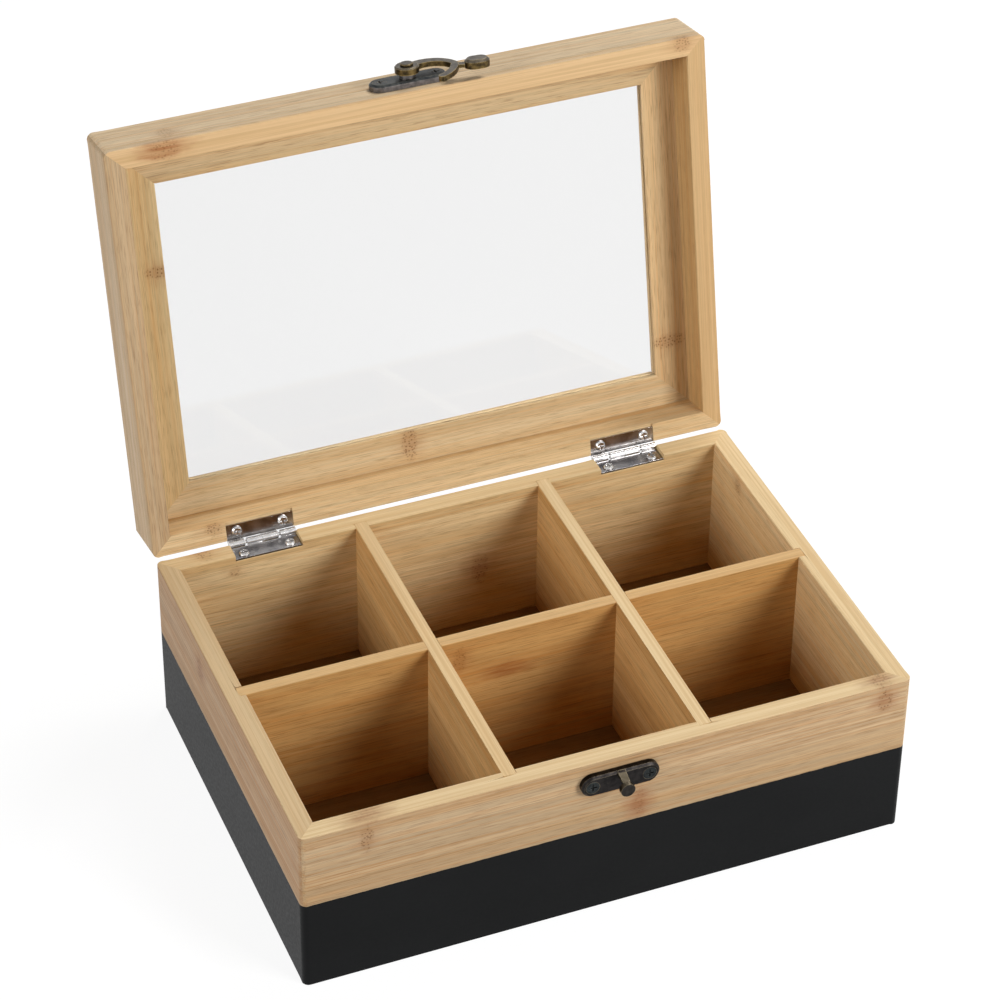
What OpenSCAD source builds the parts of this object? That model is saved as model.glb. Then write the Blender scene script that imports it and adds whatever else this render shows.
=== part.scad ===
// Tea bag organizer box: a bamboo box with six compartments, a hinged lid with a
// framed window, two knuckle hinges behind and a swing hook latch in front.
// Millimetres. X runs across the width, Y from front to back, Z up.
// The origin is the middle of the foot of the front wall, on the ground.
// The lid is drawn open, at its stop.

/* [Box] */
// Overall width of the box
box_w = 230; // [210:1:250]
// Overall depth of the box, front face to back face
box_d = 160; // [145:1:180]
// Height of the lower box, base to rim
body_h = 69; // [60:1:80]
// Thickness of the wall boards, the same for box and lid
wall_t = 7.4; // [7:0.1:8.5]
// Radius of the upright outer corners
corner_r = 2.5; // [1:0.1:4]
// Height of the painted band on the outside, from the base
paint_h = 37.7; // [25:0.1:50]

/* [Inside] */
// Thickness of the bottom panel
panel_t = 5; // [4:0.1:6]
// Height of the underside of the bottom panel above the base
panel_z = 4.5; // [3:0.1:6]
// Depth of the grooves that house the bottom panel
panel_groove = 3; // [2:0.1:4]
// Thickness of the dividers
divider_t = 5; // [4:0.1:6]
// Depth of the slots in the walls that house the divider ends
dado = 2.5; // [1.5:0.1:3.5]

/* [Lid] */
// Height of the lid walls
lid_h = 22.2; // [21:0.1:26]
// Gap between the two rims when the lid is shut
closed_gap = 0.3; // [0.2:0.05:0.5]
// Angle from shut to the open stop, in degrees
lid_open = 101.8; // [95:0.1:110]
// Depth of the lid from its rim to the window frame
frame_depth = 14.1; // [13.6:0.1:14.8]
// Thickness of the window frame
frame_t = 5; // [4.4:0.1:5.5]
// Visible width of the window frame inside the walls
frame_w = 13.1; // [10:0.1:16]
// Depth of the wall grooves that house the window frame
frame_groove = 3; // [2:0.1:4]
// Thickness of the window pane
pane_t = 2; // [1.5:0.1:2.4]
// Depth of the frame grooves that house the pane
pane_groove = 4; // [2:0.1:5]
// Distance from the inner face of the frame to the pane
pane_inset = 1.2; // [1:0.1:1.4]

/* [Hinges] */
// Length of a hinge along its pin
hinge_w = 26; // [24:0.5:30]
// Distance from a side face of the box to the middle of its hinge
hinge_inset = 41.7; // [30:0.1:55]
// Distance of the hinge axis behind the back face
hinge_back = 1; // [0.9:0.05:1.3]
// Distance of the hinge axis below the rim of the lower box
hinge_drop = 1; // [0.9:0.05:1.2]
// Thickness of the hinge leaves
leaf_t = 0.7; // [0.6:0.05:0.8]
// Width of the lower leaf, in from the back face
body_leaf_w = 7.2; // [7:0.1:7.3]
// Width of the lid leaf, in from the back face
lid_leaf_w = 6.2; // [5.8:0.1:6.9]
// Depth of the recess for the lower leaf
body_mortise = 2.35; // [2.3:0.05:2.5]
// Depth of the recess for the lid leaf
lid_mortise = 1; // [0.9:0.05:1.3]
// Outer radius of a knuckle
knuckle_r = 1.4; // [1.3:0.02:1.42]
// Radius of the hinge pin
pin_r = 0.65; // [0.55:0.01:0.7]
// Width of the notches between the outer and the inner knuckles
knuckle_notch = 0.8; // [0.5:0.1:1.2]
// Length of the stop heel on the lid leaf, from the axis
heel_l = 3; // [2.4:0.1:3.6]

/* [Hinge screws] */
// Distance of a hinge screw from the middle of the hinge
hinge_screw_x = 9; // [7:0.1:9.5]
// Distance of the lower screws from the back face
body_screw_y = 4.8; // [4.6:0.1:5]
// Distance of the lid screws from the back face
lid_screw_y = 3.4; // [3:0.1:3.7]
// Radius of a hinge screw head
pan_r = 2; // [1.8:0.05:2.1]
// Height of a hinge screw head
pan_h = 0.95; // [0.8:0.05:1]
// Radius of a hinge screw shank
pan_shank_r = 0.9; // [0.7:0.05:1]
// Length of a hinge screw under its head
pan_l = 7; // [5:0.5:8]

/* [Latch] */
// Distance of the latch and its catch to the right of the middle
latch_x = 1.8; // [-5:0.1:5]
// Length of the latch and catch plates
plate_l = 29.4; // [28:0.1:32]
// Height of the plates
plate_h = 8.8; // [8.2:0.1:9.2]
// Thickness of the plates
plate_t = 2.7; // [2.4:0.1:2.9]
// Width of the sloping edge of the plates
plate_bevel = 0.8; // [0.4:0.1:1]
// Distance from each rim to the centre line of its plate
plate_rim = 8.8; // [8.7:0.05:8.9]
// Distance of a plate screw from the middle of the plate
plate_screw_x = 10.7; // [10:0.1:11]
// Radius of a plate screw head
flat_r = 2.5; // [2.2:0.05:2.7]
// Height of the cone under a plate screw head
flat_h = 1.6; // [1.4:0.05:1.8]
// Radius of a plate screw shank
flat_shank_r = 1.1; // [0.9:0.05:1.2]
// Whole length of a plate screw
flat_l = 8; // [7:0.5:9]
// Radius of the boss under the hook
boss_r = 3; // [2.6:0.1:3.8]
// Height of the boss above the plate
boss_h = 1.8; // [1.6:0.05:2]
// Thickness of the hook
hook_t = 2; // [1.6:0.05:2.1]
// Radius of the hub of the hook
hub_r = 4.5; // [3.9:0.1:4.9]
// Thickness of the hub of the hook
hub_t = 2.6; // [2.2:0.1:2.8]
// Thickness of the thumb knob of the hook
knob_t = 3.3; // [2.4:0.1:3.6]
// Distance of the hook's bearing edge from the pivot
grip_r = 15.9; // [15.85:0.01:16]
// Width of the jaw of the hook
jaw_w = 2.8; // [2.4:0.1:3]
// Radius of the rivet shank
rivet_r = 1.5; // [1.2:0.05:1.7]
// Radius of the rivet head
rivet_head_r = 2.45; // [2.3:0.05:2.9]
// Height of the rivet head
rivet_head_h = 0.9; // [0.7:0.05:1]

/* [Catch] */
// Width of the neck of the catch horn
horn_w = 2.8; // [2.2:0.1:2.9]
// Distance from the rim of the lower box to the underside of the neck
horn_low = 6.6; // [6.4:0.05:6.65]
// Distance from the rim of the lower box to the top of the neck at the plate
horn_high = 4.5; // [4.4:0.1:5]
// Distance from the rim of the lower box to the centre of the horn's head
horn_head_drop = 8.4; // [8:0.1:8.6]
// Radius of the head of the horn
horn_head_r = 2.7; // [2.4:0.1:2.9]
// Thickness of the head of the horn
horn_head_t = 1.8; // [1:0.1:2.2]

/* [Fits] */
// Gap between two pieces that turn on one another
running = 0.05; // [0.03:0.01:0.08]
// Gap around a pin, screw or rivet in the piece that holds it
seat = 0.02; // [0.01:0.01:0.05]
// Gap at the ends of a hinge leaf in its recess
leaf_gap = 0.1; // [0.05:0.05:0.2]
// Gap at the housed edges of a panel, for the wood to move
wood_gap = 0.2; // [0.1:0.05:0.3]

/* [Hidden] */

$fn = 64;
past = 1; // how far a cut runs past a face
half_w = box_w / 2;
half_d = box_d / 2;
inner_w = box_w - 2 * wall_t;
inner_d = box_d - 2 * wall_t;
lid_rim = body_h + closed_gap;
bamboo = "burlywood";
edge_bamboo = "wheat";
paint = [0.14, 0.14, 0.15];
nickel = "silver";
bronze = [0.35, 0.27, 0.16];

// Inside
columns = 3; // the two cross dividers make three columns
panel_top = panel_z + panel_t;
divider_h = body_h - panel_top;
column_w = (inner_w - (columns - 1) * divider_t) / columns;
divider_x = (column_w + divider_t) / 2;

// Lid, in its shut place
frame_z = lid_rim + frame_depth;
pane_z = frame_z + pane_inset;
frame_out_w = inner_w + 2 * frame_groove;
frame_out_d = inner_d + 2 * frame_groove;
rail_w = frame_w + frame_groove;
window_w = inner_w - 2 * frame_w;
window_d = inner_d - 2 * frame_w;

// Hinges
axis_y = half_d + hinge_back;
axis_z = body_h - hinge_drop;
hinge_x = half_w - hinge_inset;
knuckle_play = 2 * running;
knuckle_l = (hinge_w - 2 * knuckle_notch - knuckle_play) / 4;
knuckle_x = [
    0,
    knuckle_l + knuckle_notch,
    2 * knuckle_l + knuckle_notch + knuckle_play,
    3 * knuckle_l + 2 * knuckle_notch + knuckle_play
];
// undersides of the leaves above the axis, with the lid shut
body_leaf_low = hinge_drop - body_mortise;
lid_leaf_low = hinge_drop + closed_gap + lid_mortise - leaf_t;
leaf_overhang = 0.3; // of the lid leaf past the back face
crank_root = 0.64 * knuckle_r; // height where the slope runs into the knuckle
notch_gap = 0.15; // between the lower leaf and the lid knuckles
heel_gap = running;
leaf_hole_r = pan_shank_r + 0.1;

// Screws
cross_w = 0.6;
cross_depth = 0.6;
tip_l = 2;

// Latch, measured out from the front faces
hook_z = plate_t + boss_h + running;
hook_rest = -6; // turn of the open hook, seen from the front
rivet_head_z = hook_z + hub_t + running;
rivet_tail_r = rivet_r + 0.8;
rivet_tail_h = 0.9;
latch_z = lid_rim + plate_rim;
catch_z = body_h - plate_rim;
jaw_out_r = grip_r + jaw_w;
jaw_tip = -61; // angle of the end of the jaw, seen from the pivot
mouth_back = -120; // angle of the far side of the mouth
nose_round = [0.35, 1.5, 4.5]; // how far the jaw's blunt end is cut back, and over which angles
curl = [7.5, -5.9]; // centre of the outer curve of the hook
curl_r = 11.15;
throat = [8.2, -6.6]; // centre of the hollow of the hook
throat_r = 8.1;
arm_t = 1.3;
arm_w = 2.8;
arm_from = [16.5, -2.4];
knob_at = [24.8, -5.4];
knob_r = 3.4;
knob_stretch = 1.2;
knob_slope = 0.9;
hub_slope = 0.5;
horn_head_gap = 0.35; // between the hook and the back of the horn's head
horn_head_z = hook_z + hook_t + horn_head_gap;

function at(r, angle) = [r * cos(angle), r * sin(angle)];

// Swings a lid piece from its shut place to the open stop
module lid_swing() {
    translate([0, axis_y, axis_z]) rotate([-lid_open, 0, 0]) translate([0, -axis_y, -axis_z])
        children();
}

// Stands a shape on a front face: its x goes right, its y up and its z out
module on_front(z) {
    translate([latch_x, -half_d, z]) rotate([90, 0, 0]) children();
}

// Moves a piece from the centre of the base to the part's own origin
module placed() {
    translate([0, half_d - wall_t / 2, 0]) children();
}

// Gives both sides of the box the same piece
module both_sides() {
    for (side = [-1, 1]) translate([side * hinge_x, 0, 0]) children();
}

// Plan of the whole box with round corners
module plan() {
    square([box_w - 2 * corner_r, box_d], center = true);
    square([box_w, box_d - 2 * corner_r], center = true);
    for (x = [-1, 1], y = [-1, 1])
        translate([x * (half_w - corner_r), y * (half_d - corner_r)]) circle(corner_r);
}

// Plan of one side of a mitred ring, at -Y. The ring is w by d outside and t wide
module mitred_side(w, d, t) {
    polygon([
        [-w / 2 - past, -d / 2 - past], [w / 2 + past, -d / 2 - past],
        [w / 2 - t, -d / 2 + t], [-w / 2 + t, -d / 2 + t]
    ]);
}

// Plan of one wall: it runs along X or along Y, and its sign says on which side
module wall_plan(along_x, sign) {
    intersection() {
        plan();
        if (along_x) scale([1, -sign]) mitred_side(box_w, box_d, wall_t);
        else rotate(sign * 90) mitred_side(box_d, box_w, wall_t);
    }
}

// Colours a lower wall: bare bamboo above, painted below
module painted() {
    color(bamboo) intersection() {
        children();
        translate([-box_w, -box_d, paint_h]) cube([2 * box_w, 2 * box_d, body_h]);
    }
    color(paint) intersection() {
        children();
        translate([-box_w, -box_d, -past]) cube([2 * box_w, 2 * box_d, paint_h + past]);
    }
}

// A lower wall with its panel groove and divider slots
module body_wall(along_x, sign) {
    painted() difference() {
        linear_extrude(body_h) wall_plan(along_x, sign);
        panel_space(0);
        long_space();
        for (side = [-1, 1]) cross_space(side);
        if (along_x && sign > 0) {
            both_sides() body_mortise_cut();
            hinge_body_pilots();
        }
        if (along_x && sign < 0) on_front(catch_z) plate_pilots();
    }
}

// The room that the bottom panel takes, less a gap at its edges
module panel_space(gap) {
    w = inner_w + 2 * (panel_groove - gap);
    d = inner_d + 2 * (panel_groove - gap);
    translate([-w / 2, -d / 2, panel_z]) cube([w, d, panel_t]);
}

// The room that the long divider takes
module long_space() {
    w = inner_w + 2 * dado;
    translate([-w / 2, -divider_t / 2, panel_top]) cube([w, divider_t, divider_h + past]);
}

// The room that a cross divider takes
module cross_space(side) {
    d = inner_d + 2 * dado;
    translate([side * divider_x - divider_t / 2, -d / 2, panel_top])
        cube([divider_t, d, divider_h + past]);
}

module front_wall() { body_wall(true, -1); }
module back_wall() { body_wall(true, 1); }
module left_wall() { body_wall(false, -1); }
module right_wall() { body_wall(false, 1); }

module bottom_panel() {
    color(bamboo) panel_space(wood_gap);
}

// The long divider is notched from above, where the cross dividers pass
module long_divider() {
    w = inner_w + 2 * dado;
    color(edge_bamboo) difference() {
        translate([-w / 2, -divider_t / 2, panel_top]) cube([w, divider_t, divider_h]);
        for (side = [-1, 1])
            translate([side * divider_x - divider_t / 2, -divider_t, panel_top + divider_h / 2])
                cube([divider_t, 2 * divider_t, divider_h]);
    }
}

// A cross divider is notched from below, where it straddles the long one
module cross_divider(side) {
    d = inner_d + 2 * dado;
    color(edge_bamboo) difference() {
        translate([side * divider_x - divider_t / 2, -d / 2, panel_top])
            cube([divider_t, d, divider_h]);
        translate([side * divider_x - divider_t, -divider_t / 2, panel_top - past])
            cube([2 * divider_t, divider_t, divider_h / 2 + past]);
    }
}
module cross_divider_left() { cross_divider(-1); }
module cross_divider_right() { cross_divider(1); }

// A lid wall with the groove for the window frame
module lid_wall(along_x, sign) {
    lid_swing() color(bamboo) difference() {
        translate([0, 0, lid_rim]) linear_extrude(lid_h) wall_plan(along_x, sign);
        translate([-frame_out_w / 2, -frame_out_d / 2, frame_z])
            cube([frame_out_w, frame_out_d, frame_t]);
        if (along_x && sign > 0) {
            both_sides() lid_mortise_cut();
            hinge_lid_pilots();
        }
        if (along_x && sign < 0) on_front(latch_z) plate_pilots();
    }
}
module lid_front_wall() { lid_wall(true, -1); }
module lid_back_wall() { lid_wall(true, 1); }
module lid_left_wall() { lid_wall(false, -1); }
module lid_right_wall() { lid_wall(false, 1); }

// The room that the pane takes in the frame, less a gap at its edges
module pane_space(gap) {
    w = window_w + 2 * (pane_groove - gap);
    d = window_d + 2 * (pane_groove - gap);
    translate([-w / 2, -d / 2, pane_z]) cube([w, d, pane_t]);
}

// One mitred side of the window frame, with the groove for the pane
module window_side(along_x, sign) {
    w = frame_out_w - 2 * wood_gap;
    d = frame_out_d - 2 * wood_gap;
    t = rail_w - wood_gap;
    lid_swing() color(bamboo) difference() {
        translate([0, 0, frame_z]) linear_extrude(frame_t) intersection() {
            square([w, d], center = true);
            if (along_x) scale([1, -sign]) mitred_side(w, d, t);
            else rotate(sign * 90) mitred_side(d, w, t);
        }
        pane_space(0);
    }
}
module window_rail_front() { window_side(true, -1); }
module window_rail_back() { window_side(true, 1); }
module window_stile_left() { window_side(false, -1); }
module window_stile_right() { window_side(false, 1); }

module window_pane() {
    lid_swing() color("aliceblue", 0.35) pane_space(wood_gap);
}

// Recess in the back rim of the box, from the back face to the inside
module body_mortise_cut() {
    translate([-hinge_w / 2 - leaf_gap, half_d - wall_t - past, body_h - body_mortise])
        cube([hinge_w + 2 * leaf_gap, wall_t + 2 * past, body_mortise + past]);
}

// Recess in the back rim of the lid
module lid_mortise_cut() {
    translate([-hinge_w / 2 - leaf_gap, half_d - wall_t - past, lid_rim - past])
        cube([hinge_w + 2 * leaf_gap, wall_t + 2 * past, lid_mortise + past]);
}

// Places one knuckle or leaf outline: drawn from the axis, y behind and z up
module along_axis(from, length) {
    translate([from - hinge_w / 2, axis_y, axis_z]) rotate([90, 0, 90])
        linear_extrude(length) children();
}

// Holes for two screws in a leaf
module leaf_holes(y, z) {
    for (side = [-1, 1])
        translate([side * hinge_screw_x, half_d - y, z - past])
            cylinder(r = leaf_hole_r, h = leaf_t + 2 * past);
}

// The lower leaf lies on the floor of its recess and carries knuckles 2 and 4.
// It is notched where the knuckles of the lid leaf turn
module body_leaf() {
    depth = knuckle_r + notch_gap;
    color(nickel) difference() {
        union() {
            difference() {
                translate([-hinge_w / 2, half_d - body_leaf_w, axis_z + body_leaf_low])
                    cube([hinge_w, body_leaf_w, leaf_t]);
                notch = knuckle_l + knuckle_notch;
                for (span = [[-past, notch + past], [knuckle_x[2] - knuckle_play, notch + knuckle_play]])
                    along_axis(span[0], span[1]) translate([-depth, body_leaf_low - past])
                        square([depth + past, leaf_t + 2 * past]);
            }
            for (i = [1, 3]) along_axis(knuckle_x[i], knuckle_l) {
                circle(knuckle_r);
                translate([-depth - past, body_leaf_low]) square([depth + past, leaf_t]);
            }
        }
        along_axis(-past, hinge_w + 2 * past) circle(pin_r + seat);
        leaf_holes(body_screw_y, axis_z + body_leaf_low);
    }
}

// Outline of the cranked part of the lid leaf: overhang, slope, knuckle and heel
module lid_knuckle_outline() {
    top = [leaf_overhang - hinge_back, lid_leaf_low + leaf_t / 2];
    root = [0, crank_root];
    run = (root - top) / norm(root - top);
    side = [-run[1], run[0]] * leaf_t / 2;
    polygon([top + side, top - side, root - side, root + side]);
    translate([-hinge_back, lid_leaf_low]) square([leaf_overhang, leaf_t]);
    circle(knuckle_r);
    rotate(lid_open) translate([heel_gap - hinge_back, -heel_l]) square([leaf_t, heel_l]);
}

// The lid leaf is cranked down to knuckles 1 and 3. Their heels meet the back
// face of the box when the lid is fully open
module lid_leaf() {
    color(nickel) difference() {
        union() {
            translate([-hinge_w / 2, half_d - lid_leaf_w, axis_z + lid_leaf_low])
                cube([hinge_w, lid_leaf_w, leaf_t]);
            for (i = [0, 2]) along_axis(knuckle_x[i], knuckle_l) lid_knuckle_outline();
        }
        along_axis(-past, hinge_w + 2 * past) circle(pin_r + running);
        leaf_holes(lid_screw_y, axis_z + lid_leaf_low);
    }
}

module hinge_pin() {
    color(nickel) along_axis(0, hinge_w) circle(pin_r);
}

module hinge_left_body_leaf() { translate([-hinge_x, 0, 0]) body_leaf(); }
module hinge_left_lid_leaf() { lid_swing() translate([-hinge_x, 0, 0]) lid_leaf(); }
module hinge_left_pin() { translate([-hinge_x, 0, 0]) hinge_pin(); }
module hinge_right_body_leaf() { translate([hinge_x, 0, 0]) body_leaf(); }
module hinge_right_lid_leaf() { lid_swing() translate([hinge_x, 0, 0]) lid_leaf(); }
module hinge_right_pin() { translate([hinge_x, 0, 0]) hinge_pin(); }

// Cross-shaped driver recess, down from height top
module cross_recess(length, top) {
    for (turn = [0, 90]) rotate(turn) translate([-length / 2, -cross_w / 2, top - cross_depth])
        cube([length, cross_w, cross_depth + past]);
}

// Round-headed screw. The underside of its head is at z = 0
module pan_screw() {
    crown = 0.5;
    difference() {
        rotate_extrude() polygon([
            [0, -pan_l], [pan_shank_r, tip_l - pan_l], [pan_shank_r, 0], [pan_r, 0],
            [pan_r, pan_h - crown], [pan_r - crown, pan_h], [0, pan_h]
        ]);
        cross_recess(2 * (pan_r - crown), pan_h);
    }
}

// Hole in the wood for a round-headed screw
module pan_pilot() {
    rotate_extrude() polygon([
        [0, -pan_l - seat], [pan_shank_r + seat, tip_l - pan_l - seat],
        [pan_shank_r + seat, past], [0, past]
    ]);
}

// Places two screws on the lower leaf and on the lid leaf, at each hinge
module body_screw_places() {
    both_sides() for (side = [-1, 1])
        translate([side * hinge_screw_x, half_d - body_screw_y, axis_z + body_leaf_low + leaf_t])
                children();
}
module lid_screw_places() {
    both_sides() for (side = [-1, 1])
        translate([side * hinge_screw_x, half_d - lid_screw_y, axis_z + lid_leaf_low])
            rotate([180, 0, 0]) children();
}
module hinge_body_pilots() { body_screw_places() pan_pilot(); }
module hinge_lid_pilots() { lid_screw_places() pan_pilot(); }
module hinge_body_screws() { color(nickel) body_screw_places() pan_screw(); }
module hinge_lid_screws() { lid_swing() color(nickel) lid_screw_places() pan_screw(); }

// Bar with round ends and a sloping upper edge, l by w and t thick
module round_ended(l, w, t, slope) {
    r = w / 2;
    reach = l / 2 - r;
    linear_extrude(t - slope) {
        square([2 * reach, w], center = true);
        for (side = [-1, 1]) translate([side * reach, 0]) circle(r);
    }
    translate([0, 0, t - slope]) {
        translate([-reach, 0, 0]) rotate([90, 0, 90]) linear_extrude(2 * reach)
            polygon([[-r, 0], [r, 0], [r - slope, slope], [slope - r, slope]]);
        for (side = [-1, 1]) translate([side * reach, 0, 0]) rotate(-side * 90)
            rotate_extrude(angle = 180)
                polygon([[0, 0], [r, 0], [r - slope, slope], [0, slope]]);
    }
}

module plate() {
    round_ended(plate_l, plate_h, plate_t, plate_bevel);
}

// Flat-headed screw. The top of its head is at z = 0
module flat_screw() {
    rim = 0.3;
    difference() {
        rotate_extrude() polygon([
            [0, -flat_l], [flat_shank_r, tip_l - flat_l], [flat_shank_r, -flat_h],
            [flat_r, -rim], [flat_r, 0], [0, 0]
        ]);
        cross_recess(1.3 * flat_r, 0);
    }
}

// Hole in a plate for a flat-headed screw
module flat_hole() {
    rim = 0.3;
    rotate_extrude() polygon([
        [0, -plate_t - past], [flat_shank_r + seat, -plate_t - past],
        [flat_shank_r + seat, -flat_h], [flat_r + seat, -rim], [flat_r + seat, past], [0, past]
    ]);
}

// Hole in the wood for a flat-headed screw
module flat_pilot() {
    rotate_extrude() polygon([
        [0, -flat_l - seat], [flat_shank_r + seat, tip_l - flat_l - seat],
        [flat_shank_r + seat, past], [0, past]
    ]);
}

// Places two screws on a plate
module plate_screw_places() {
    for (side = [-1, 1]) translate([side * plate_screw_x, 0, plate_t]) children();
}
module plate_pilots() { plate_screw_places() flat_pilot(); }

module latch_plate() {
    tail_r = rivet_tail_r + seat;
    lid_swing() color(bronze) on_front(latch_z) difference() {
        union() {
            plate();
            cylinder(r = boss_r, h = plate_t + boss_h);
        }
        translate([0, 0, -past]) cylinder(r = rivet_r + seat, h = plate_t + boss_h + 2 * past);
        translate([0, 0, -past]) cylinder(r = tail_r, h = rivet_tail_h + past);
        plate_screw_places() flat_hole();
    }
}

module latch_screws() {
    lid_swing() color(bronze) on_front(latch_z) plate_screw_places() flat_screw();
}

module latch_rivet() {
    crown = 0.3;
    lid_swing() color(bronze) on_front(latch_z) rotate_extrude() polygon([
        [0, 0], [rivet_tail_r, 0], [rivet_tail_r, rivet_tail_h], [rivet_r, rivet_tail_h],
        [rivet_r, rivet_head_z], [rivet_head_r, rivet_head_z],
        [rivet_head_r, rivet_head_z + rivet_head_h - crown],
        [rivet_head_r - crown, rivet_head_z + rivet_head_h], [0, rivet_head_z + rivet_head_h]
    ]);
}

// The room to the left of the jaw, bounded by the blunt nose of the jaw
module hook_mouth() {
    cut = nose_round[0];
    near = jaw_tip + nose_round[1];
    full = jaw_tip + nose_round[2];
    far = 3 * jaw_out_r;
    polygon([
        [0, 0], at(grip_r - cut, full), at(grip_r + cut, near),
        at(grip_r + jaw_w / 3, jaw_tip), at(jaw_out_r - jaw_w / 3, jaw_tip),
        at(jaw_out_r - cut, near), at(jaw_out_r + cut, full),
        at(far, jaw_tip), at(far, mouth_back), at(far, 180)
    ]);
}

// Outline of the curl and jaw of the hook about its pivot
module hook_curl() {
    difference() {
        intersection() {
            translate(curl) circle(curl_r);
            circle(jaw_out_r);
        }
        intersection() {
            translate(throat) circle(throat_r);
            circle(grip_r);
        }
        hook_mouth();
    }
}

// The hook turns on its rivet. It has a hub, a curl with a jaw, an arm and a thumb knob
module latch_hook() {
    lean = atan2(knob_at[1] - arm_from[1], knob_at[0] - arm_from[0]);
    lid_swing() color(bronze) on_front(latch_z) translate([0, 0, hook_z]) rotate(hook_rest) difference() {
        union() {
            linear_extrude(hook_t) hook_curl();
            rotate_extrude() polygon([
                [0, 0], [hub_r, 0], [hub_r, hub_t - hub_slope], [hub_r - hub_slope, hub_t], [0, hub_t]
            ]);
            linear_extrude(arm_t) translate(arm_from) rotate(lean) translate([0, -arm_w / 2])
                square([norm(knob_at - arm_from), arm_w]);
            translate(knob_at)
                round_ended(2 * (knob_r + knob_stretch), 2 * knob_r, knob_t, knob_slope);
        }
        translate([0, 0, -past]) cylinder(r = rivet_r + running, h = hub_t + 2 * past);
    }
}

// Neck of the horn, seen from the side: up and out
module horn_neck() {
    top = plate_rim - horn_high;
    low = plate_rim - horn_low;
    head_top = horn_head_r + plate_rim - horn_head_drop;
    rotate([90, 0, 90]) translate([0, 0, -horn_w / 2]) linear_extrude(horn_w) polygon([
        [low, plate_t / 2], [top, plate_t / 2], [top, plate_t],
        [head_top - 0.1, horn_head_z + 0.1], [low, horn_head_z + 0.1]
    ]);
}

// The catch is one casting: a plate and a horn that the hook's jaw grips
module catch_plate() {
    color(bronze) on_front(catch_z) {
        difference() {
            plate();
            plate_screw_places() flat_hole();
        }
        horn_neck();
        translate([0, plate_rim - horn_head_drop, horn_head_z])
            cylinder(r = horn_head_r, h = horn_head_t);
    }
}

module catch_screws() {
    color(paint) on_front(catch_z) plate_screw_places() flat_screw();
}

placed() front_wall();
placed() back_wall();
placed() left_wall();
placed() right_wall();
placed() bottom_panel();
placed() long_divider();
placed() cross_divider_left();
placed() cross_divider_right();
placed() lid_front_wall();
placed() lid_back_wall();
placed() lid_left_wall();
placed() lid_right_wall();
placed() window_rail_front();
placed() window_rail_back();
placed() window_stile_left();
placed() window_stile_right();
placed() window_pane();
placed() hinge_left_body_leaf();
placed() hinge_left_lid_leaf();
placed() hinge_left_pin();
placed() hinge_right_body_leaf();
placed() hinge_right_lid_leaf();
placed() hinge_right_pin();
placed() hinge_body_screws();
placed() hinge_lid_screws();
placed() latch_plate();
placed() latch_hook();
placed() latch_rivet();
placed() latch_screws();
placed() catch_plate();
placed() catch_screws();
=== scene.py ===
"""Looks of a box in bamboo, black paint, nickel, bronze and glass, with its light and camera."""
import math

import bpy
from mathutils import Matrix, Vector

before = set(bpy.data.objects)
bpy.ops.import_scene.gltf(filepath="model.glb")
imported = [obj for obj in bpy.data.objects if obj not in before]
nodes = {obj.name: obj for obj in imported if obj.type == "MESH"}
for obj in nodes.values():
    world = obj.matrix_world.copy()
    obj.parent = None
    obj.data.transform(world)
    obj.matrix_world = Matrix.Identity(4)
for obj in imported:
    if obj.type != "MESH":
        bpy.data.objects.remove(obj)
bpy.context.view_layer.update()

MM = 0.001
LID_TILT = math.radians(-101.8)
HINGE = Vector((0.0, 157.3, 68.0)) * MM
PAINT_TOP = 37.7 * MM
BOX_HALF = Vector((115.0, 80.0)) * MM
BOX_MIDDLE_Y = 76.3 * MM
PAINT_SKIN = 2.6 * MM

# How far edges are rounded, and what is joined or flattened before that.
WOOD_ROUNDING = 0.5 * MM
HOOK_ROUNDING = 0.35 * MM
METAL_ROUNDING = 0.12 * MM
ROUNDING_STEPS = 3
SHARP_FROM = math.radians(35)
WELD_REACH = 0.002 * MM
FLAT_WITHIN = math.radians(0.5)

# Light: most of what shows of the floor is plain white, the rest is the lit floor with its shadow.
PLAIN_WHITE = 0.8
FLOOR_GLOW = 1.12
FLOOR_SIZE = 8.0
AMBIENT = 0.005
BOX_CENTRE = Vector((0.0, 0.09, 0.08))
LAMP_DISTANCE = 1.6
LAMP_SIZE = 0.672


def srgb(red, green, blue):
    """The linear colour of a screen colour given as 0 to 255."""
    parts = [value / 255 for value in (red, green, blue)]
    return tuple(p / 12.92 if p < 0.04 else ((p + 0.055) / 1.055) ** 2.4 for p in parts) + (1.0,)


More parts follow.
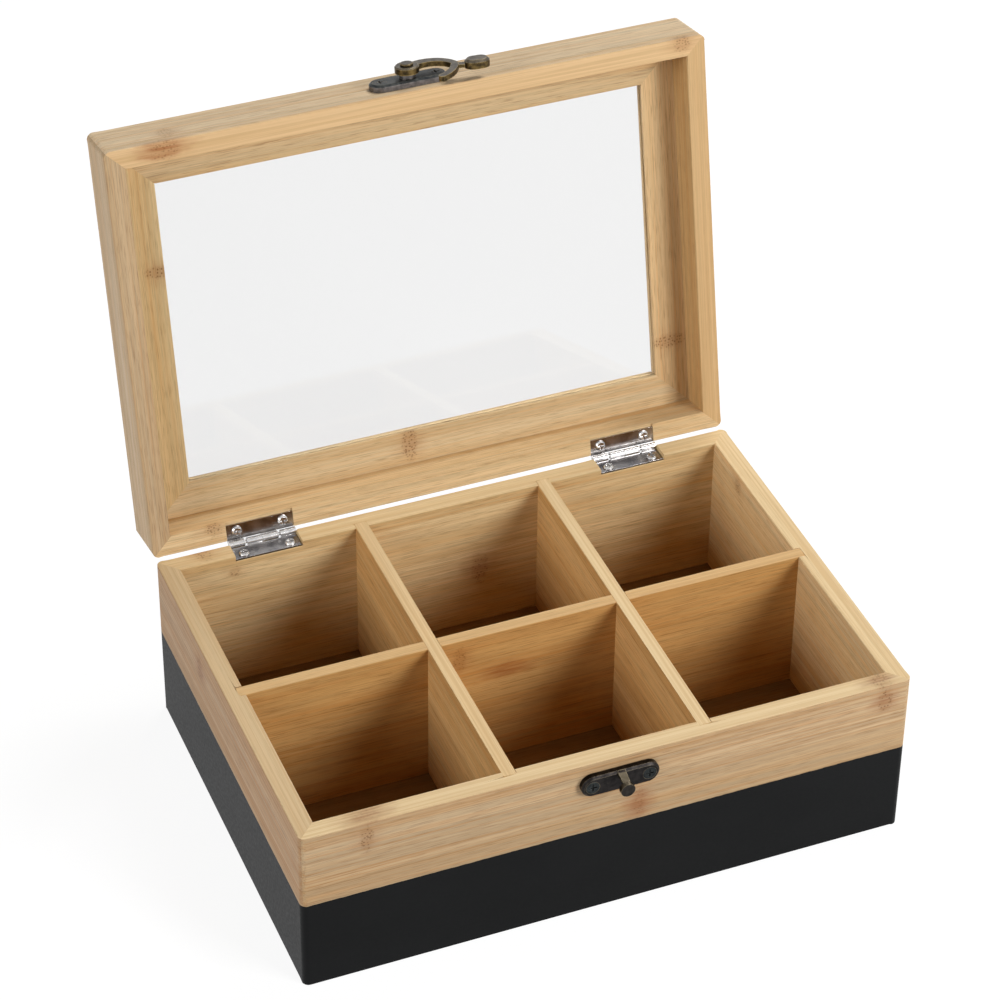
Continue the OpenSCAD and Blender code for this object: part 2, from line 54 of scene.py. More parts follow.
class Nodes:
    """A node tree, with a short call for each kind of node."""

    def __init__(self, tree):
        self.tree = tree

    def put(self, socket, value):
        """Links an output to the socket, or writes a plain value on it."""
        if isinstance(value, bpy.types.NodeSocket):
            self.tree.links.new(value, socket)
        else:
            socket.default_value = value

    def node(self, kind, inputs, output=0, **settings):
        made = self.tree.nodes.new(kind)
        for key, value in settings.items():
            setattr(made, key, value)
        for key, value in inputs.items():
            self.put(made.inputs[key], value)
        return made.outputs[output]

    def maths(self, operation, first, second=0.0):
        return self.node("ShaderNodeMath", {0: first, 1: second}, operation=operation)

    def vector_maths(self, operation, first, second=(0.0, 0.0, 0.0)):
        """A length or a dot product is a number, and the rest are vectors."""
        output = 1 if operation in ("LENGTH", "DOT_PRODUCT") else 0
        return self.node("ShaderNodeVectorMath", {0: first, 1: second}, output, operation=operation)

    def scaled(self, vector, sizes):
        """The vector with each axis divided by a size in metres."""
        return self.vector_maths("MULTIPLY", vector, tuple(1 / size for size in sizes))

    def noise(self, vector, sizes, seed=0.0, detail=3.0):
        inputs = {"Vector": self.scaled(vector, sizes), "W": seed, "Scale": 1.0, "Detail": detail}
        return self.node("ShaderNodeTexNoise", inputs, noise_dimensions="4D")

    def fade(self, value, start, end, low=0.0, high=1.0):
        """Goes smoothly from low to high while the value goes from start to end."""
        inputs = {"Value": value, "From Min": start, "From Max": end, "To Min": low, "To Max": high}
        return self.node("ShaderNodeMapRange", inputs, interpolation_type="SMOOTHSTEP")

    def mix(self, factor, first, second):
        made = self.tree.nodes.new("ShaderNodeMix")
        made.data_type = "RGBA"
        self.put(made.inputs[0], factor)
        self.put(made.inputs[6], first)
        self.put(made.inputs[7], second)
        return made.outputs[2]

    def split(self, vector):
        made = self.tree.nodes.new("ShaderNodeSeparateXYZ")
        self.put(made.inputs[0], vector)
        return made.outputs

    def position(self):
        return self.node("ShaderNodeTexCoord", {}, output="Object")

    def facing(self, direction):
        """1 where the surface faces this direction of the part, -1 where it faces away."""
        normal = self.node("ShaderNodeTexCoord", {}, output="Normal")
        return self.vector_maths("DOT_PRODUCT", normal, tuple(direction))

    def bump(self, height, depth):
        return self.node("ShaderNodeBump", {"Height": height, "Distance": depth, "Strength": 1.0})

    def seen_directly(self):
        """1 for rays that show the background, straight or in metal and glass."""
        path = self.tree.nodes.new("ShaderNodeLightPath").outputs
        seen = self.maths("MAXIMUM", path["Is Camera Ray"], path["Is Glossy Ray"])
        return self.maths("MAXIMUM", seen, path["Is Transmission Ray"])


class Shading(Nodes):
    """The nodes of one new material."""

    def __init__(self, name):
        self.material = bpy.data.materials.new(name)
        self.material.use_nodes = True
        super().__init__(self.material.node_tree)
        self.surface = self.tree.nodes["Principled BSDF"]

    def finish(self, **inputs):
        for key, value in inputs.items():
            self.put(self.surface.inputs[key.replace("_", " ")], value)
        return self.material

    def show_mixed(self, factor, other):
        """Shows the surface where the factor is 0, and another shader where it is 1."""
        both = self.node("ShaderNodeMixShader", {0: factor, 1: self.surface.outputs[0], 2: other})
        self.put(self.tree.nodes["Material Output"].inputs["Surface"], both)


PALE = srgb(236, 208, 164)
TAN = srgb(214, 176, 124)
GREY_TAN = srgb(192, 168, 130)
ORANGE = srgb(206, 152, 92)
BROWN = srgb(132, 90, 48)
RED_BROWN = srgb(172, 116, 76)
KNOT_TAN = srgb(170, 124, 76)
DARK_BROWN = srgb(112, 72, 38)
WOOD_SHADES = (PALE, TAN, GREY_TAN, ORANGE, BROWN)
KNOT_SHADES = (RED_BROWN, KNOT_TAN, DARK_BROWN)
# Rim shades as lit: painted light makes the box's rims paler, as they look up to the light, and painted
# shade makes the lid's rim darker.
BOX_RIM_LIGHT = srgb(235, 209, 164), srgb(212, 178, 129)
LID_RIM_LIGHT = srgb(224, 188, 140), srgb(196, 158, 108)
BLACK_PAINT = srgb(9, 10, 11), srgb(13, 14, 15)


def toned(shade, tone_and_light):
    """The shade with its red, green and blue each multiplied by the given shares, which carry the board's
    own tone and painted light and shade.
    """
    return tuple(part * share for part, share in zip(shade, tone_and_light + (1.0,)))


def board_axes(crosswise, in_lid):
    """The turn from x along a board's grain to the part's axes, the lid's tilt, and the origin of both."""
    turn = Matrix.Rotation(math.radians(90.0 if crosswise else 0.0), 3, "Z")
    tilt = Matrix.Rotation(LID_TILT if in_lid else 0.0, 3, "X")
    return turn, tilt, HINGE if in_lid else Vector((0.0, 0.0, 0.0))


def with_knots(mat, grain, colour, knots, seed, tone_and_light):
    """Adds bamboo nodes: a band of dark dots across the strip, and a warm stain along the grain."""
    stain_shade, band_shade, dot_shade = (toned(shade, tone_and_light) for shade in KNOT_SHADES)
    ragged = mat.maths("MULTIPLY", mat.noise(grain, (5 * MM, 1.6 * MM, 1.6 * MM), seed + 10.0), 0.8)
    dotted, stained = 0.0, 0.0
    for centre, size, dots, stain in knots:
        offset = mat.vector_maths("SUBTRACT", grain, tuple(centre))
        for reach, kind in ((1.0, "dots"), (2.2, "stain")):
            sizes = (size[0] * reach * MM, size[1] * MM, size[2] * MM)
            far = mat.maths("ADD", mat.vector_maths("LENGTH", mat.scaled(offset, sizes)), ragged)
            if kind == "dots":
                dotted = mat.maths("MAXIMUM", mat.fade(far, 0.9, 1.45, dots, 0.0), dotted)
            else:
                stained = mat.maths("MAXIMUM", mat.fade(far, 0.5, 1.6, stain, 0.0), stained)
    lines = mat.noise(grain, (18 * MM, 0.7 * MM, 0.7 * MM), seed + 12.0)
    stained = mat.maths("MULTIPLY", stained, mat.fade(lines, 0.35, 0.65, 0.45, 1.0))
    colour = mat.mix(stained, colour, stain_shade)
    colour = mat.mix(mat.maths("MULTIPLY", dotted, 0.35), colour, band_shade)
    dot_place = mat.scaled(grain, (1.2 * MM, 0.95 * MM, 0.95 * MM))
    dot = mat.node("ShaderNodeTexVoronoi", {"Vector": dot_place, "Scale": 1.0, "Randomness": 0.8})
    return mat.mix(mat.maths("MULTIPLY", dotted, mat.fade(dot, 0.2, 0.45, 0.75, 0.0)), colour, dot_shade)


def bamboo(name, seed, crosswise=False, in_lid=False, strips=(20.0, 6.5), tone_and_light=(1.0, 1.0, 1.0),
           streaky=0.55, rim_light=0.0, knots=(), painted=False):
    """Glued bamboo strips with fine fibres along the board, on its own axes.

    Strips are the width and height of one strip in millimetres, and the shares that tint the shades carry
    the board's own tone with painted light and shade. Streaky is how strong the streaks are, and the rim
    share how much the edge of the open side takes the rim shades, which are painted light and shade.
    """
    mat = Shading(name)
    pale, tan, grey_tan, orange, brown = (toned(shade, tone_and_light) for shade in WOOD_SHADES)
    turn, tilt, origin = board_axes(crosswise, in_lid)
    place = mat.position()
    axes = {"Vector": place, "Location": tuple(origin), "Rotation": tuple((tilt @ turn).to_euler())}
    grain = mat.node("ShaderNodeMapping", axes, vector_type="TEXTURE")

    # Every glued strip has its own tone, and a thin line where two of them meet.
    wander = mat.noise(grain, (90 * MM, 12 * MM, 12 * MM), seed)
    drift = mat.node("ShaderNodeCombineXYZ", {0: seed, 1: 0.37, 2: mat.maths("MULTIPLY", wander, 0.25)})
    in_strips = mat.scaled(grain, (10.0, strips[0] * MM, strips[1] * MM))
    in_strips = mat.vector_maths("ADD", in_strips, drift)
    which = mat.vector_maths("FLOOR", in_strips)
    strip_tone = mat.node("ShaderNodeTexWhiteNoise", {"Vector": which}, noise_dimensions="3D")
    height = mat.split(in_strips)[2]
    inside = mat.maths("ABSOLUTE", mat.maths("SUBTRACT", mat.maths("FRACT", height), 0.5))
    joint_line = mat.fade(inside, 0.465, 0.5)

    broad = mat.noise(grain, (220 * MM, 5.5 * MM, 5.5 * MM), seed + 1.0)
    streak = mat.noise(grain, (130 * MM, 1.0 * MM, 1.0 * MM), seed + 2.0)
    fibre = mat.noise(grain, (60 * MM, 0.32 * MM, 0.32 * MM), seed + 4.0, detail=2.0)
    pores = mat.noise(grain, (8 * MM, 0.22 * MM, 0.22 * MM), seed + 5.0, detail=1.0)
    tint = mat.noise(grain, (200 * MM, 2.8 * MM, 2.8 * MM), seed + 6.0)

    tone = mat.maths("ADD", mat.maths("MULTIPLY", strip_tone, 0.5), mat.fade(broad, 0.3, 0.7, 0.0, 0.5))
    colour = mat.mix(tone, pale, tan)
    colour = mat.mix(mat.fade(tint, 0.48, 0.66, 0.0, 0.6 * streaky), colour, grey_tan)
    colour = mat.mix(mat.fade(tint, 0.5, 0.34, 0.0, 0.5 * streaky), colour, orange)
    colour = mat.mix(mat.fade(streak, 0.45, 0.7, 0.0, 0.75 * streaky), colour, orange)
    colour = mat.mix(mat.fade(fibre, 0.4, 0.65, 0.0, 0.5), colour, grey_tan)
    colour = mat.mix(mat.fade(pores, 0.54, 0.68, 0.0, 0.4), colour, brown)
    glue = mat.maths("MULTIPLY", joint_line, mat.fade(broad, 0.35, 0.65, 0.05, 0.4))
    colour = mat.mix(glue, colour, brown)
    # Painted light on the rim: the face of the open side's edge takes the rim shades, partly also the
    # paler sanded ends of the strips.
    if rim_light:
        faced = mat.facing(tilt @ Vector((0.0, 0.0, -1.0 if in_lid else 1.0)))
        fibre_lines = mat.fade(fibre, 0.45, 0.65, 0.0, 0.5)
        lined = mat.maths("MAXIMUM", mat.fade(streak, 0.4, 0.65, 0.0, 0.6), fibre_lines)
        rim_lit_shade = mat.mix(lined, *(LID_RIM_LIGHT if in_lid else BOX_RIM_LIGHT))
        colour = mat.mix(mat.fade(faced, 0.4, 0.9, 0.0, rim_light), colour, rim_lit_shade)
    if knots:
        back = turn.transposed()
        placed = [(back @ (Vector(centre) * MM - origin), *rest) for centre, *rest in knots]
        # The knots take only the darkening shares: the board's own tone and its painted shade, not its
        # painted light.
        knot_tone_and_shade = tuple(min(share, 1.0) for share in tone_and_light)
        colour = with_knots(mat, grain, colour, placed, seed, knot_tone_and_shade)

    relief = mat.maths("ADD", mat.maths("MULTIPLY", fibre, 0.6), mat.fade(pores, 0.6, 0.72, 0.0, -0.5))
    relief = mat.maths("SUBTRACT", relief, mat.maths("MULTIPLY", joint_line, 0.4))
    rough = mat.fade(streak, 0.3, 0.7, 0.42, 0.56)
    if painted:
        colour, rough, relief = with_paint(mat, place, seed, colour, rough, relief)
    return mat.finish(Base_Color=colour, Roughness=rough, Normal=mat.bump(relief, 0.03 * MM), IOR=1.19)


def with_paint(mat, place, seed, colour, rough, relief):
    """Covers the foot of the outside with satin black, which fills most of the grain."""
    paint = painted_foot(mat, place, seed)
    film = mat.noise(place, (1.2 * MM, 1.2 * MM, 1.2 * MM), seed + 8.0)
    cloud = mat.noise(place, (40 * MM, 40 * MM, 25 * MM), seed + 9.0)
    colour = mat.mix(paint, colour, mat.mix(mat.fade(cloud, 0.3, 0.7), *BLACK_PAINT))
    bare_rough = mat.maths("MULTIPLY", rough, mat.maths("SUBTRACT", 1.0, paint))
    film_rough = mat.maths("MULTIPLY", paint, mat.fade(film, 0.3, 0.7, 0.44, 0.52))
    rough = mat.maths("ADD", bare_rough, film_rough)
    filled = mat.maths("MULTIPLY", relief, mat.fade(paint, 0.0, 1.0, 1.0, 0.25))
    film_height = mat.maths("ADD", mat.maths("MULTIPLY", film, 0.4), 1.0)
    relief = mat.maths("ADD", filled, mat.maths("MULTIPLY", paint, film_height))
    return colour, rough, relief


def painted_foot(mat, place, seed):
    """1 on the painted foot of the outside, 0 on bare wood."""
    x, y, z = mat.split(place)
    beyond_x = mat.maths("SUBTRACT", mat.maths("ABSOLUTE", x), BOX_HALF[0] - PAINT_SKIN)
    from_middle = mat.maths("ABSOLUTE", mat.maths("SUBTRACT", y, BOX_MIDDLE_Y))
    beyond_y = mat.maths("SUBTRACT", from_middle, BOX_HALF[1] - PAINT_SKIN)
    skin = mat.maths("GREATER_THAN", mat.maths("MAXIMUM", beyond_x, beyond_y), 0.0)
    underside = mat.maths("LESS_THAN", z, 0.6 * MM)
    uneven = mat.noise(place, (3 * MM, 3 * MM, 30 * MM), seed + 7.0)
    line = mat.maths("ADD", z, mat.fade(uneven, 0.3, 0.7, -0.08 * MM, 0.08 * MM))
    below = mat.fade(line, PAINT_TOP - 0.05 * MM, PAINT_TOP + 0.05 * MM, 1.0, 0.0)
    return mat.maths("MULTIPLY", below, mat.maths("MAXIMUM", skin, underside))


def worn_and_glint_edge(mat, radius):
    """High on outer edges, where handling rubs the finish and where the edge glints are painted, and 0 on
    flat metal.
    """
    rounded = mat.node("ShaderNodeBevel", {"Radius": radius}, samples=6)
    true_normal = mat.node("ShaderNodeNewGeometry", {}, output="Normal")
    return mat.fade(mat.vector_maths("DOT_PRODUCT", rounded, true_normal), 0.995, 0.86)


def nickel(name, dull, bright):
    """Polished nickel, with a painted highlight that makes it brightest round the hinge axis, on the
    knuckles, and on its edges.
    """
    mat = Shading(name)
    place = mat.position()
    haze = mat.noise(place, (4 * MM, 4 * MM, 4 * MM))
    brushed = mat.noise(place, (14 * MM, 0.12 * MM, 0.12 * MM), 1.0)
    specks = mat.noise(place, (0.35 * MM, 0.35 * MM, 0.35 * MM), 2.0)
    colour = mat.mix(mat.fade(haze, 0.35, 0.65), srgb(*dull), srgb(*bright))
    colour = mat.mix(mat.fade(specks, 0.68, 0.76, 0.0, 0.4), colour, srgb(110, 102, 98))
    # Painted highlight: the knuckles round the hinge axis and the edges turn almost white.
    from_axis = mat.vector_maths("SUBTRACT", place, tuple(HINGE))
    reach = mat.vector_maths("LENGTH", mat.vector_maths("MULTIPLY", from_axis, (0.0, 1.0, 1.0)))
    on_knuckles = mat.fade(reach, 1.9 * MM, 2.2 * MM, 0.4, 0.0)
    painted_highlight = mat.maths("MAXIMUM", on_knuckles, worn_and_glint_edge(mat, 0.15 * MM))
    colour = mat.mix(painted_highlight, colour, srgb(242, 240, 238))
    rough = mat.maths("ADD", mat.fade(haze, 0.3, 0.7, 0.14, 0.2), mat.fade(brushed, 0.4, 0.7, 0.0, 0.04))
    scratches = mat.bump(brushed, 0.0008 * MM)
    return mat.finish(Base_Color=colour, Metallic=1.0, Roughness=rough, Normal=scratches)


def bronze(name, front, sides, worn, rub, in_lid=False, rubbed_beyond=None):
    """Antique bronze: a cloudy front, other shades round its sides as painted light, and brighter metal on
    its edges, partly rubbed and partly a painted glint.

    Front and sides are pairs of a deep and a dull shade, the sides' pair painted light and shade. Rub is
    how much of the worn shade shows on the edges, and metal further out in front than rubbed_beyond has
    the shades of worn metal too.
    """
    mat = Shading(name)
    place = mat.position()
    # Painted light: the sides take their own pair of shades, for how they catch light and reflections
    # unlike the front.
    tilt = Matrix.Rotation(LID_TILT if in_lid else 0.0, 3, "X")
    faced = mat.facing(tilt @ Vector((0.0, -1.0, 0.0)))
    flank = mat.fade(mat.maths("ABSOLUTE", faced), 0.8, 0.3)
    cloud = mat.noise(place, (1.8 * MM, 1.8 * MM, 1.8 * MM), detail=4.0)
    pits = mat.noise(place, (0.3 * MM, 0.3 * MM, 0.3 * MM), 1.0)
    scuffs = mat.noise(place, (2.5 * MM, 0.5 * MM, 0.5 * MM), 2.0)
    clouded = mat.fade(cloud, 0.35, 0.68)
    on_front = mat.mix(clouded, *(srgb(*shade) for shade in front))
    sides_as_lit = mat.mix(clouded, *(srgb(*shade) for shade in sides))
    colour = mat.mix(flank, on_front, sides_as_lit)
    # Brighter edges: partly wear that bares brighter metal, partly a painted glint.
    rubbed_and_glinting = mat.maths("MULTIPLY", worn_and_glint_edge(mat, 0.5 * MM), mat.fade(cloud, 0.3, 0.55, 0.35 * rub, rub))
    rubbed_and_glinting = mat.maths("MAXIMUM", rubbed_and_glinting, mat.fade(scuffs, 0.66, 0.78, 0.0, 0.5 * rub))
    if rubbed_beyond:
        in_front = mat.fade(mat.split(place)[1], -rubbed_beyond, -rubbed_beyond - 0.2 * MM, 0.0, 0.06)
        handled = mat.maths("MULTIPLY", in_front, mat.fade(flank, 0.0, 0.3, 0.25, 1.0))
        rubbed_and_glinting = mat.maths("MAXIMUM", rubbed_and_glinting, handled)
    colour = mat.mix(rubbed_and_glinting, colour, srgb(*worn))
    rough = mat.maths("ADD", mat.fade(rubbed_and_glinting, 0.0, 1.0, 0.34, 0.22), mat.fade(pits, 0.3, 0.7, 0.0, 0.1))
    return mat.finish(Base_Color=colour, Metallic=1.0, Roughness=rough, Normal=mat.bump(pits, 0.015 * MM))


def clear_pane():
    """Clear glass with faint smears, which lets the light through to what is behind it."""
    mat = Shading("clear_pane")
    smear = mat.noise(mat.position(), (30 * MM, 30 * MM, 12 * MM), detail=4.0)
    rough = mat.fade(smear, 0.45, 0.75, 0.0, 0.03)
    mat.finish(Base_Color=srgb(235, 235, 235), Roughness=rough, IOR=1.38, Transmission_Weight=1.0)
    is_shadow = mat.node("ShaderNodeLightPath", {}, output="Is Shadow Ray")
    shadow = mat.node("ShaderNodeBsdfTransparent", {"Color": (0.9, 0.9, 0.9, 1.0)})
    mat.show_mixed(is_shadow, shadow)
    return mat.material


def dress(node, material):
    """Gives a CAD node its material."""
    for slot in nodes[node].material_slots:
        slot.material = material


# Knots: place in millimetres with the lid shut, reach along and across the grain, dots, stain.
FRONT_KNOTS = (((-91, -3.7, 62), (3.2, 4, 7), 0.75, 0.35), ((-90, 0, 69), (6, 6, 2), 0.15, 0.7),
               ((105, -3.7, 62.5), (3.5, 4, 6), 0.8, 0.8), ((104, 0, 69), (4.5, 6, 2), 0.5, 0.7),
               ((10, -3.7, 45), (3.2, 4, 9), 0.35, 1.0))
BACK_KNOTS = (((-87, 149, 62), (3, 4, 3.5), 0.7, 0.35), ((10.5, 149, 36), (4, 4, 10), 0.6, 0.6),
              ((60, 156, 50), (3.5, 5, 8), 0.8, 0.6), ((-97, 156.3, 69), (4, 7, 3), 0.6, 0.4))
LEFT_KNOTS = (((-115, 105, 58), (3.5, 5, 7), 0.7, 0.5),)
RIGHT_KNOTS = (((107.6, 127, 64), (3, 4, 5), 0.7, 0.3), ((115, 30, 55), (3.5, 5, 8), 0.8, 0.6))
LONG_KNOTS = (((-27, 73.8, 60), (3, 4, 7), 0.6, 0.4), ((-8, 73.8, 50.5), (6, 4, 4.5), 0.0, 1.0))
LID_FRONT_KNOTS = (((-93, -1, 69.3), (6, 5, 4), 0.5, 1.0), ((-90, -3.7, 77), (4, 4, 6), 0.35, 0.3),
                   ((106, -2, 69.3), (4, 5, 4), 0.6, 0.4))
LID_BACK_KNOTS = (((-91, 148, 69.3), (4, 7, 4), 0.75, 0.3), ((40, 156, 80), (3.5, 5, 7), 0.7, 0.5))
STILE_LEFT_KNOTS = (((-96, 50.5, 83.4), (3, 6.5, 4), 0.9, 0.5),)
STILE_RIGHT_KNOTS = (((100.5, 122.5, 83.4), (3.4, 9, 4), 0.8, 0.25),)
RAIL_BACK_KNOTS = (((-7.7, 140.5, 83.4), (3.8, 9, 4), 0.85, 0.4),)

# How each board's red, green and blue depart from the shades of the wood above: partly the board's own
# tone, partly painted light and shade set face by face. The compartments' floor and dividers are darker
# and warmer for the painted shade down in the compartments, and the lid's front wall, which looks up with
# the lid open, is painted lighter.
FRONT_TONE_AND_LIGHT = (0.75, 0.73, 0.76)
LEFT_TONE_AND_LIGHT = (0.67, 0.61, 0.63)
BACK_TONE_AND_LIGHT = (1.03, 1.05, 1.0)
RIGHT_TONE_AND_LIGHT = (1.12, 1.15, 1.14)
LONG_TONE_AND_LIGHT = (0.87, 0.70, 0.46)
CROSS_TONE_AND_LIGHT = (0.96, 0.83, 0.62)
FLOOR_TONE_AND_LIGHT = (0.48, 0.41, 0.33)
LID_FRONT_TONE_AND_LIGHT = (1.17, 1.27, 1.5)
LID_RIGHT_TONE_AND_LIGHT = (0.78, 0.7, 0.57)
LID_BACK_TONE_AND_LIGHT = (1.04, 1.06, 1.07)
LID_LEFT_TONE_AND_LIGHT = (0.81, 0.82, 0.9)
RAIL_TONE_AND_LIGHT = (0.97, 1.03, 1.1)
RAIL_FRONT_TONE_AND_LIGHT = (0.86, 0.88, 0.9)
STILE_LEFT_TONE_AND_LIGHT = (0.94, 0.95, 0.88)

# The window frame's strips stand on edge, and the other boards' lie flat.
ON_EDGE = (5.5, 20.0)
BOARDS = {
    "front_wall": dict(seed=1.3, painted=True, knots=FRONT_KNOTS, tone_and_light=FRONT_TONE_AND_LIGHT,
                       streaky=0.9, rim_light=0.95),
    "back_wall": dict(seed=2.7, painted=True, knots=BACK_KNOTS, tone_and_light=BACK_TONE_AND_LIGHT, rim_light=0.6),
    "left_wall": dict(seed=3.1, crosswise=True, painted=True, knots=LEFT_KNOTS, tone_and_light=LEFT_TONE_AND_LIGHT,
                      streaky=0.8, rim_light=0.65),
    "right_wall": dict(seed=4.9, crosswise=True, painted=True, knots=RIGHT_KNOTS, tone_and_light=RIGHT_TONE_AND_LIGHT,
                       rim_light=0.7),
    "bottom_panel": dict(seed=5.2, strips=(22.0, 8.0), tone_and_light=FLOOR_TONE_AND_LIGHT),
    "long_divider": dict(seed=6.4, knots=LONG_KNOTS, tone_and_light=LONG_TONE_AND_LIGHT, rim_light=0.4),
    "cross_divider_left": dict(seed=7.7, crosswise=True, tone_and_light=CROSS_TONE_AND_LIGHT, rim_light=0.75),
    "cross_divider_right": dict(seed=8.2, crosswise=True, tone_and_light=CROSS_TONE_AND_LIGHT, rim_light=0.95),
    "lid_front_wall": dict(seed=9.6, in_lid=True, knots=LID_FRONT_KNOTS, tone_and_light=LID_FRONT_TONE_AND_LIGHT, rim_light=0.9),
    "lid_back_wall": dict(seed=10.3, in_lid=True, knots=LID_BACK_KNOTS, tone_and_light=LID_BACK_TONE_AND_LIGHT),
    "lid_left_wall": dict(seed=11.8, crosswise=True, in_lid=True, tone_and_light=LID_LEFT_TONE_AND_LIGHT),
    "lid_right_wall": dict(seed=12.1, crosswise=True, in_lid=True, tone_and_light=LID_RIGHT_TONE_AND_LIGHT, rim_light=0.6),
    "window_rail_front": dict(seed=13.5, in_lid=True, strips=ON_EDGE, tone_and_light=RAIL_FRONT_TONE_AND_LIGHT),
    "window_rail_back": dict(seed=14.2, in_lid=True, strips=ON_EDGE, knots=RAIL_BACK_KNOTS,
                             tone_and_light=RAIL_TONE_AND_LIGHT),
    "window_stile_left": dict(seed=15.9, crosswise=True, in_lid=True, strips=ON_EDGE,
                              knots=STILE_LEFT_KNOTS, tone_and_light=STILE_LEFT_TONE_AND_LIGHT),
    "window_stile_right": dict(seed=16.4, crosswise=True, in_lid=True, strips=ON_EDGE,
                               knots=STILE_RIGHT_KNOTS),
}


def ease_edges(node, crosswise, in_lid):
    """Sands a board's long edges round, and leaves its joints tight."""
    turn, tilt, _ = board_axes(crosswise, in_lid)
    along = tilt @ turn @ Vector((1.0, 0.0, 0.0))
    mesh = nodes[node].data
    faces_at = {}
    for face in mesh.polygons:
        face.use_smooth = False
        for key in face.edge_keys:
            faces_at[key] = faces_at.get(key, 0) + 1
    weight = mesh.attributes.new("bevel_weight_edge", "FLOAT", "EDGE")
    for edge in mesh.edges:
        ends = [mesh.vertices[index].co for index in edge.vertices]
        direction = (ends[1] - ends[0]).normalized()
        # The loaded mesh is split along its sharp edges, so these have a single face.
        if faces_at[edge.key] == 1 and abs(direction.dot(along)) > 0.9999:
            weight.data[edge.index].value = 1.0
    drop_loaded_normals(mesh)
    round_over(nodes[node], "WEIGHT", WOOD_ROUNDING)


def drop_loaded_normals(mesh):
    """The loaded shading normals don't fit a mesh with rounded edges, so Blender works out its own."""
    loaded = mesh.attributes.get("custom_normal")
    if loaded:
        mesh.attributes.remove(loaded)


def round_over(piece, limit, radius):
    """Welds the split mesh and rounds its edges, the weighted ones or all the sharp ones."""
    weld = piece.modifiers.new("weld", "WELD")
    weld.merge_threshold = WELD_REACH
    if limit == "ANGLE":
        plain = piece.modifiers.new("plain_faces", "DECIMATE")
        plain.decimate_type = "DISSOLVE"
        plain.angle_limit = FLAT_WITHIN
    bevel = piece.modifiers.new("eased_edges", "BEVEL")
    bevel.limit_method = limit
    bevel.angle_limit = SHARP_FROM
    bevel.width = radius
    bevel.segments = ROUNDING_STEPS


def ease_metal(node, radius):
    """Rounds all the edges of a metal part, and shades its curves smooth."""
    mesh = nodes[node].data
    drop_loaded_normals(mesh)
    for face in mesh.polygons:
        face.use_smooth = True
    round_over(nodes[node], "ANGLE", radius)
    nodes[node].modifiers.new("flat_faces", "WEIGHTED_NORMAL").weight = 80


for board, looks in BOARDS.items():
    dress(board, bamboo(board + "_bamboo", **looks))
    ease_edges(board, looks.get("crosswise", False), looks.get("in_lid", False))

# One nickel at three brightnesses, painted light and reflection: the lid leaves lighter than the box
# leaves, and the screws lighter still for their glints.
leaf_nickel = nickel("nickel_box_leaves", (124, 122, 124), (156, 153, 152))
lid_leaf_nickel = nickel("nickel_lid_leaves", (142, 139, 138), (172, 168, 166))
screw_nickel = nickel("nickel_screws", (176, 173, 171), (206, 204, 201))
# The second pair of each bronze is its sides' painted light and shade.
hook_bronze = bronze("antique_bronze", ((68, 62, 55), (98, 91, 80)), ((54, 45, 30), (106, 88, 54)),
                     worn=(226, 198, 134), rub=0.45, in_lid=True)
latch_bronze = bronze("dull_bronze", ((36, 40, 42), (62, 64, 62)), ((84, 81, 81), (110, 106, 106)),
                      worn=(150, 132, 98), rub=0.3, in_lid=True)
catch_bronze = bronze("blackened_bronze", ((30, 28, 28), (45, 42, 41)), ((24, 22, 21), (44, 40, 37)),
                      worn=(206, 188, 150), rub=0.22, rubbed_beyond=6.7 * MM)
screw_bronze = bronze("screw_bronze", ((38, 41, 42), (52, 56, 56)), ((24, 24, 26), (40, 40, 42)),
                      worn=(120, 112, 96), rub=0.1)
METALS = {"hinge_left_lid_leaf": lid_leaf_nickel, "hinge_right_lid_leaf": lid_leaf_nickel,
          "hinge_body_screws": screw_nickel, "hinge_lid_screws": screw_nickel,
          "latch_hook": hook_bronze, "latch_rivet": hook_bronze,
          "latch_plate": latch_bronze, "latch_screws": latch_bronze,
          "catch_plate": catch_bronze, "catch_screws": screw_bronze}
for name in nodes:
    if name.startswith(("hinge_", "latch_", "catch_")):
        dress(name, METALS.get(name, leaf_nickel))
        ease_metal(name, HOOK_ROUNDING if name in ("latch_hook", "latch_rivet") else METAL_ROUNDING)
dress("window_pane", clear_pane())

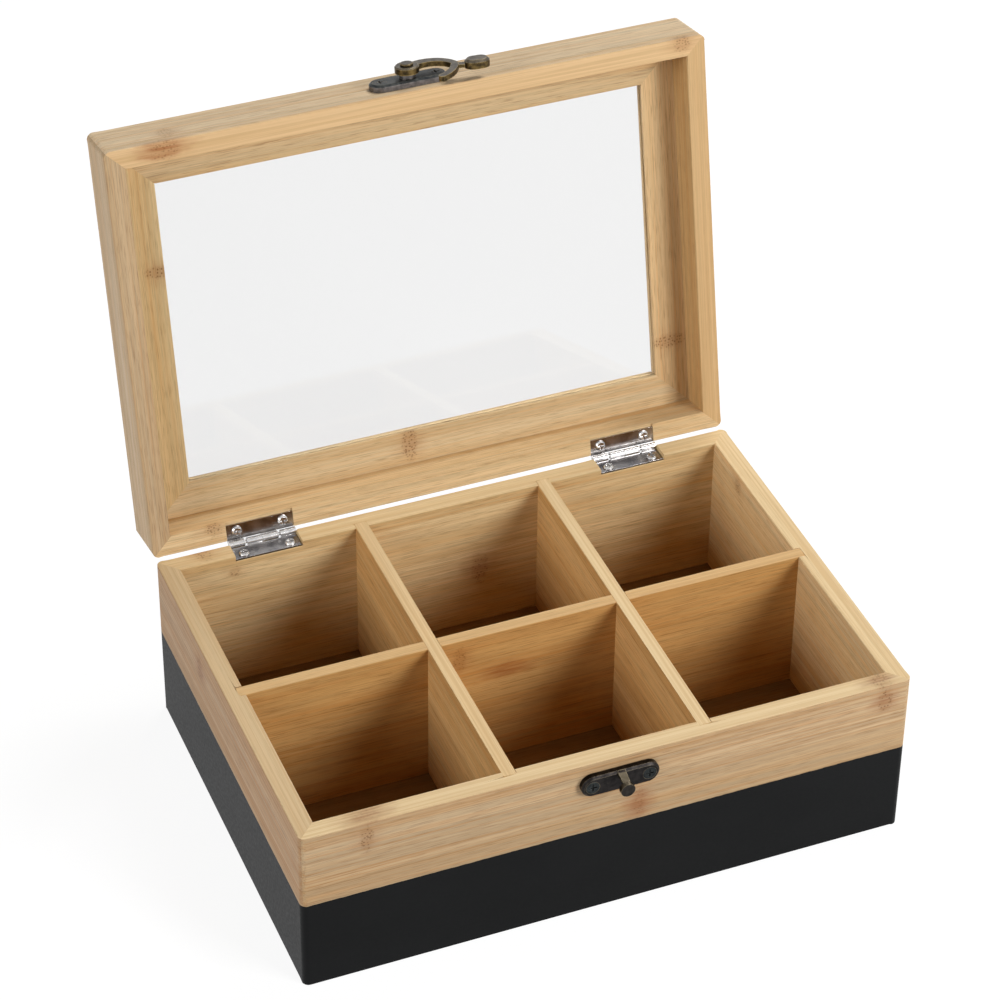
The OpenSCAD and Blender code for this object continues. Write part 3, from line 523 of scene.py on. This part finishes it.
# Stage: a white floor that shows white and still keeps the box's shadow.
bpy.ops.mesh.primitive_plane_add(size=FLOOR_SIZE, location=(0.0, 0.0, 0.0))
floor = bpy.context.object
floor.name = "studio_floor"
floor_paint = Shading("studio_floor_white")
grit = floor_paint.noise(floor_paint.position(), (0.4, 0.4, 0.4))
floor_tone = floor_paint.mix(grit, srgb(238, 238, 238), srgb(242, 242, 242))
floor_paint.finish(Base_Color=floor_tone, Roughness=0.9)
glow = floor_paint.node("ShaderNodeEmission", {"Strength": FLOOR_GLOW})
white_share = floor_paint.maths("MULTIPLY", floor_paint.seen_directly(), PLAIN_WHITE)
floor_paint.show_mixed(white_share, glow)
floor.data.materials.append(floor_paint.material)

world = bpy.data.worlds.new("studio")
bpy.context.scene.world = world
world.use_nodes = True
sky = Nodes(world.node_tree)
background = sky.tree.nodes["Background"]
level = sky.node("ShaderNodeMapRange", {"Value": sky.seen_directly(), "To Min": AMBIENT})
sky.put(background.inputs["Strength"], level)
sky.put(background.inputs["Color"], (1.0, 1.0, 1.0, 1.0))


def soft_lamp(name, azimuth, elevation, power):
    """A square soft box that looks at the box: azimuth 0 is in front of it, 90 on its right."""
    turn, rise = math.radians(azimuth), math.radians(elevation)
    away = Vector((math.sin(turn) * math.cos(rise), -math.cos(turn) * math.cos(rise), math.sin(rise)))
    lamp = bpy.data.lights.new(name, "AREA")
    lamp.size = LAMP_SIZE
    lamp.energy = power
    holder = bpy.data.objects.new(name, lamp)
    bpy.context.collection.objects.link(holder)
    holder.location = BOX_CENTRE + away * LAMP_DISTANCE
    holder.rotation_euler = (-away).to_track_quat("-Z", "Y").to_euler()


soft_lamp("key_right", 35, 25, 19.5)
soft_lamp("fill_left", -75, 25, 11.9)
soft_lamp("top_behind", 130, 55, 12.8)

# Camera, as fitted to twelve corners of the box and the lid.
lens = bpy.data.cameras.new("photo_camera")
lens.lens = 128.71
lens.sensor_width = 36.0
lens.clip_end = 50.0
camera = bpy.data.objects.new("photo_camera", lens)
bpy.context.collection.objects.link(camera)
camera.location = Vector((-386.81, -840.71, 893.60)) * MM
azimuth, elevation, roll = (math.radians(angle) for angle in (22.28, 37.73, 0.723))
turned = Matrix.Rotation(-azimuth, 3, "Z") @ Matrix.Rotation(math.pi / 2 - elevation, 3, "X")
camera.rotation_euler = (turned @ Matrix.Rotation(roll, 3, "Z")).to_euler()
bpy.context.scene.camera = camera
bpy.context.scene.view_settings.view_transform = "Standard"
